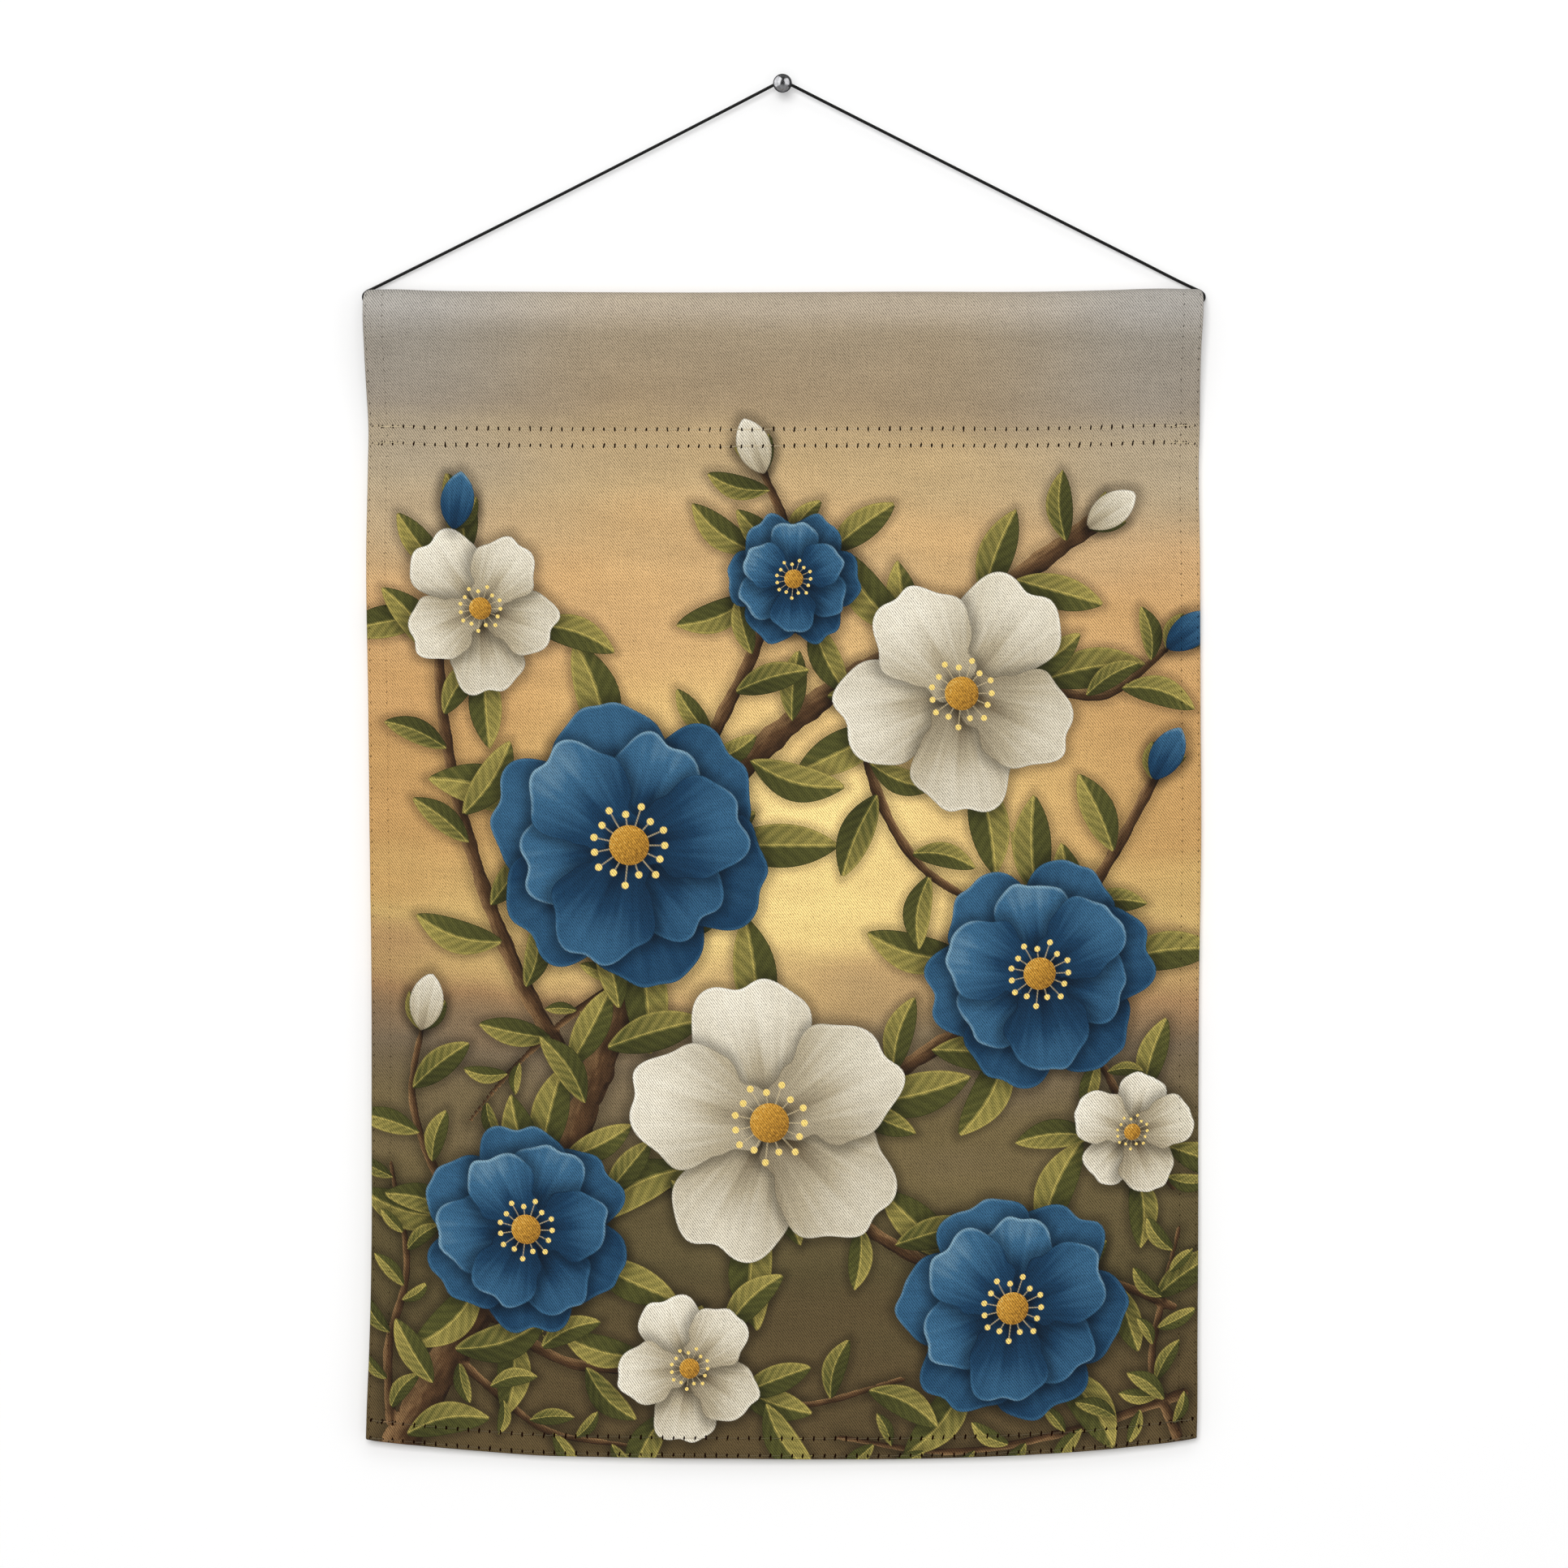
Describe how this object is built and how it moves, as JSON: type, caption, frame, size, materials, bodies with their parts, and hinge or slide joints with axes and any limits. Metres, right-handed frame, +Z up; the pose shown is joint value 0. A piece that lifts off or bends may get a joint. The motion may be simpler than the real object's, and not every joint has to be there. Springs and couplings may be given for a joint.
{
  "type": "garden flag with hanging cord and wall pin",
  "caption": "Small vertical cloth banner with a sewn pole sleeve and hemmed sides, hung by a thin cord over a ball-headed wall pin.",
  "frame": {"origin": "centre of the wall pin's flat end, where its shank meets the wall", "axes": "+Y into the wall along the pin, +Z up along the flag's height, +X to the viewer's right"},
  "size_m": [0.3226, 0.0146, 0.5305],
  "materials": {
    "printed_cloth": "printed polyester twill with a fine slanting rib, matt",
    "black_cord": "thin round braided cord, matt black",
    "polished_steel": "polished dark steel"
  },
  "bodies": {
    "root": {"flag_panel": "printed_cloth", "pole_sleeve": "printed_cloth", "hanging_cord": "black_cord", "wall_pin": "polished_steel"}
  },
  "joints": []
}
